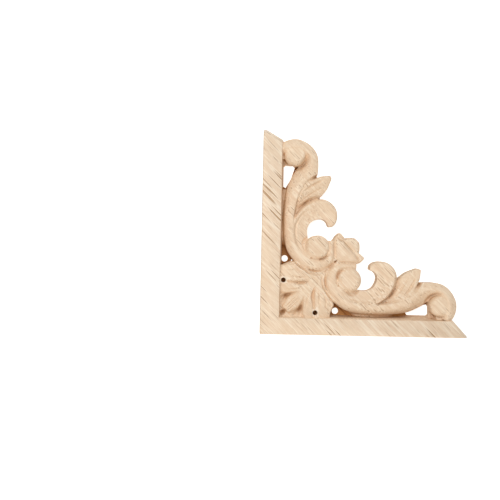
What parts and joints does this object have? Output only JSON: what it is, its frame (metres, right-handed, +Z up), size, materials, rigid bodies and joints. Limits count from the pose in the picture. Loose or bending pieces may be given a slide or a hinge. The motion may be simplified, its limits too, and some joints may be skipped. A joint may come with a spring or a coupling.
{
  "type": "carved wooden corner onlay",
  "caption": "Right-angled applied ornament of carved wood: plain ledges along both outer edges, filled with leaf scrolls, volutes and a palmette, with a flat back for gluing.",
  "frame": {"origin": "on the flat back, where the centre lines of the two ledges cross near the outer corner", "axes": "+X along the lower ledge, +Z up the upright ledge, +Y out of the flat back into what it is fixed to; the carving faces -Y"},
  "size_m": [0.08, 0.009, 0.0787],
  "materials": {
    "unfinished_wood": "bare sanded wood, no stain or varnish"
  },
  "bodies": {
    "root": {"corner_onlay": "unfinished_wood"}
  },
  "joints": []
}
